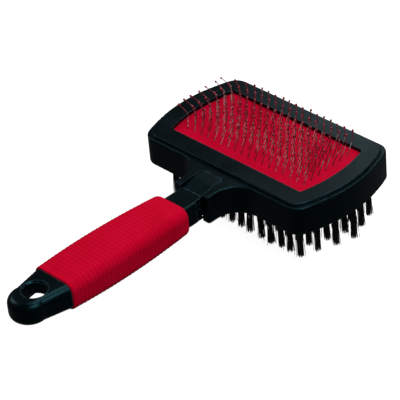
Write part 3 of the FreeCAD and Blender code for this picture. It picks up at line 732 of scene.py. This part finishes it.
def ball_row(row):
    """Dipped balls: a little longer than wide, drawn out into a short neck down the wire."""
    shape = Shape()
    for column in range(PIN_COLUMNS):
        chance = random.Random(BALL_SEED + ROW_SEED * row + column)
        _, knee, tip = pin_bends(column, row)
        along = (tip - knee).normalized()
        size = BALL_R * chance.uniform(*BALL_CHANCE)
        path = []
        radii = []
        for band in range(BALL_BANDS + 1):
            angle = math.pi * (BALL_POLE + (1 - 2 * BALL_POLE) * band / BALL_BANDS)
            neck = BALL_NECK * size * (1 - band / BALL_BANDS) ** 3
            path.append(tip - along * (BALL_STRETCH * size * math.cos(angle) + neck))
            radii.append(size * math.sin(angle))
        shape.add_tube(tube_rings(path, radii, BALL_SIDES), [0.0] * len(path))
    add_piece(shape, f"pin_balls_{row + 1}", "red_ball", "head", f"ball_tips_{row + 1}")


# ---- bristle tufts ----

def tuft_places(row):
    """Middles of the tufts in one row; every second row is shifted by half a pitch."""
    offset = (row - (TUFT_ROWS - 1) / 2) * TUFT_PITCH_Y
    shifted = (row + 1) % 2
    shift = shifted / 2
    count = int((bowed_reach(offset, BLOCK_INSET) - TUFT_MARGIN) / TUFT_PITCH_X - shift)
    first = -count - shift
    steps = 2 * count + shifted + 1
    return [((first + step) * TUFT_PITCH_X, HEAD_CENTRE_Y + offset) for step in range(steps)]


def add_filament(shape, root, tip, bulge):
    """One filament that bulges sideways on its way to the tip."""
    path = [root.lerp(tip, share) + bulge * math.sin(math.pi * share) for share in FILAMENT_SHARES]
    radii = [FILAMENT_R] * (len(path) - 1) + [FILAMENT_R * FILAMENT_TAPER]
    shape.add_tube(tube_rings(path, radii, FILAMENT_SIDES), FILAMENT_SHARES)


def add_tuft(shape, x, y, chance):
    """A bundle of filaments standing in its hole: a dense core and a few strays."""
    lean = Vector((chance.uniform(*LEAN_X_CHANCE), chance.uniform(*LEAN_Y_CHANCE), 0))
    for index in range(FILAMENTS + STRAYS):
        stray = index >= FILAMENTS
        share = chance.random() if stray else (index + 0.5) / FILAMENTS
        angle = index * GOLDEN_TURN + either_way(chance, TURN_CHANCE)
        out = Vector((math.cos(angle), math.sin(angle), 0))
        root = Vector((x, y, TUFT_ROOT_Z)) + out * TUFT_R * math.sqrt(share)
        spread = TUFT_TIP_R * math.sqrt(share) + either_way(chance, SPREAD_CHANCE)
        if stray:
            spread += chance.uniform(*STRAY_SPREAD)
        short = chance.uniform(0.0, CUT_CHANCE) + (STRAY_SHORT if stray else 0.0)
        tip = Vector((x, y, TUFT_TIP_Z + short)) + lean + out * spread
        bulge = Vector((either_way(chance, BULGE_CHANCE), either_way(chance, BULGE_CHANCE), 0))
        add_filament(shape, root, tip, bulge)


def tuft_row(row):
    """All the tufts of one row, as one piece."""
    shape = Shape()
    for index, (x, y) in enumerate(tuft_places(row)):
        add_tuft(shape, x, y, random.Random(TUFT_SEED + ROW_SEED * row + index))
    add_piece(shape, f"tuft_row_{row + 1}", "black_bristle", "head", f"bristle_row_{row + 1}")


# ---- finish of the CAD pieces ----

def finish_cad_nodes():
    """Each slot of a CAD node is named after its finish."""
    for node in frame["nodes"].values():
        for material_slot in node.material_slots:
            material_slot.material = MATERIALS[material_slot.material.name]


# ---- stage ----

def make_floor():
    """Paper that shines by itself, but neither reflects in the brush nor lights it."""
    graph = Graph("floor_paper", Emission_Color=rgb(1.0, 1.0, 1.0), Emission_Strength=0.95)
    graph.finish(Base_Color=rgb(0.35, 0.35, 0.35), Roughness=0.9)
    mesh = bpy.data.meshes.new("floor")
    corners = [
        (-FLOOR_HALF, -FLOOR_HALF, 0),
        (FLOOR_HALF, -FLOOR_HALF, 0),
        (FLOOR_HALF, FLOOR_HALF, 0),
        (-FLOOR_HALF, FLOOR_HALF, 0),
    ]
    mesh.from_pydata(corners, [], [(0, 1, 2, 3)])
    mesh.materials.append(graph.material)
    floor = bpy.data.objects.new("floor", mesh)
    bpy.context.scene.collection.objects.link(floor)
    floor.visible_glossy = False
    floor.visible_diffuse = False


def view_axes(azimuth, elevation):
    """Unit vectors to the right, up and back for a level camera."""
    turn = math.radians(azimuth)
    rise = math.radians(elevation)
    level = math.cos(rise)
    back = Vector((math.sin(turn) * level, -math.cos(turn) * level, math.sin(rise)))
    right = Vector((math.cos(turn), math.sin(turn), 0))
    return right, back.cross(right), back


def facing(position, right, up, back):
    """Where a camera or light stands, and which way it points."""
    matrix = Matrix((right, up, back)).transposed().to_4x4()
    matrix.translation = position
    return matrix


def make_camera():
    """The viewing angle and distance fitted to the photograph."""
    data = bpy.data.cameras.new("camera")
    data.lens = LENS
    data.sensor_width = SENSOR_WIDTH
    camera = bpy.data.objects.new("camera", data)
    bpy.context.scene.collection.objects.link(camera)
    right, up, back = view_axes(VIEW_AZIMUTH, VIEW_ELEVATION)
    roll = math.radians(VIEW_ROLL)
    tilted = right * math.cos(roll) + up * math.sin(roll)
    camera.matrix_world = facing(VIEW_TARGET + back * VIEW_DISTANCE, tilted, back.cross(tilted), back)
    bpy.context.scene.camera = camera


def make_light(name, azimuth, elevation, distance, size, power, colour=(1.0, 1.0, 1.0)):
    """A square softbox aimed at the brush."""
    data = bpy.data.lights.new(name, "AREA")
    data.size = size
    data.energy = power
    data.color = colour
    light = bpy.data.objects.new(name, data)
    bpy.context.scene.collection.objects.link(light)
    right, up, back = view_axes(azimuth, elevation)
    light.matrix_world = facing(VIEW_TARGET + back * distance, right, up, back)


def make_world():
    world = bpy.data.worlds.new("studio")
    world.use_nodes = True
    background = world.node_tree.nodes["Background"]
    background.inputs["Color"].default_value = rgb(0.95, 0.98, 1.0)
    background.inputs["Strength"].default_value = 0.09
    bpy.context.scene.world = world


def make_stage():
    make_floor()
    make_camera()
    make_world()
    make_light("key", azimuth=75, elevation=48, distance=1.6, size=0.8, power=15)
    make_light("top", azimuth=190, elevation=78, distance=1.6, size=0.9, power=12)
    make_light("left", azimuth=-70, elevation=35, distance=1.6, size=0.5, power=5)
    cool = (0.85, 0.97, 1.0)
    make_light("back", azimuth=216, elevation=34, distance=0.55, size=0.12, power=0.14, colour=cool)
    bpy.context.scene.view_settings.view_transform = "Standard"


make_stage()
finish_cad_nodes()
rubber_sleeve()
pin_pad()
for row_number in range(PIN_ROWS):
    wire_row(row_number)
    ball_row(row_number)
for row_number in range(TUFT_ROWS):
    tuft_row(row_number)
